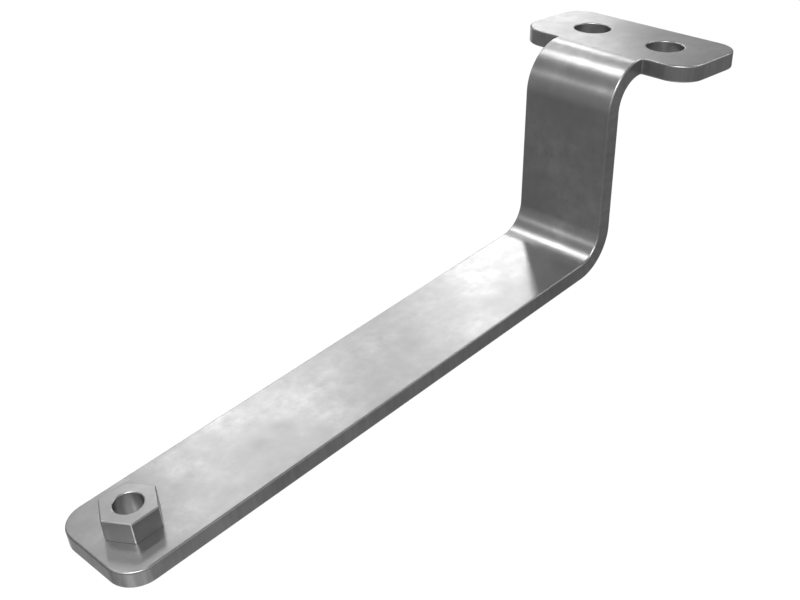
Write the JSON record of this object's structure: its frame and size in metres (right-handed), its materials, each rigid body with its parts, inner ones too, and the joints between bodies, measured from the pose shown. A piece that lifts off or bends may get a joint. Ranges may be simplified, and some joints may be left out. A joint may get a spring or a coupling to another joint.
{
  "type": "support bracket",
  "caption": "Flat steel support bracket, bent twice, with a wide fixing tab, a long sloping arm and a hexagon weld nut near the arm's free end.",
  "frame": {"origin": "midway between the tab's two fixing holes, on the underside of the tab", "axes": "+Z square to the tab and up, +X from the web out over the tab, so the arm reaches out towards -X and slopes down; +Y across the strip, which is the same on both sides"},
  "size_m": [0.1746, 0.05, 0.0697],
  "materials": {
    "strip_steel": "satin, tumbled, with rounded edges",
    "nut_steel": "satin, with rounded edges"
  },
  "bodies": {
    "root": {"bracket": "strip_steel", "weld_nut": "nut_steel"}
  },
  "joints": []
}
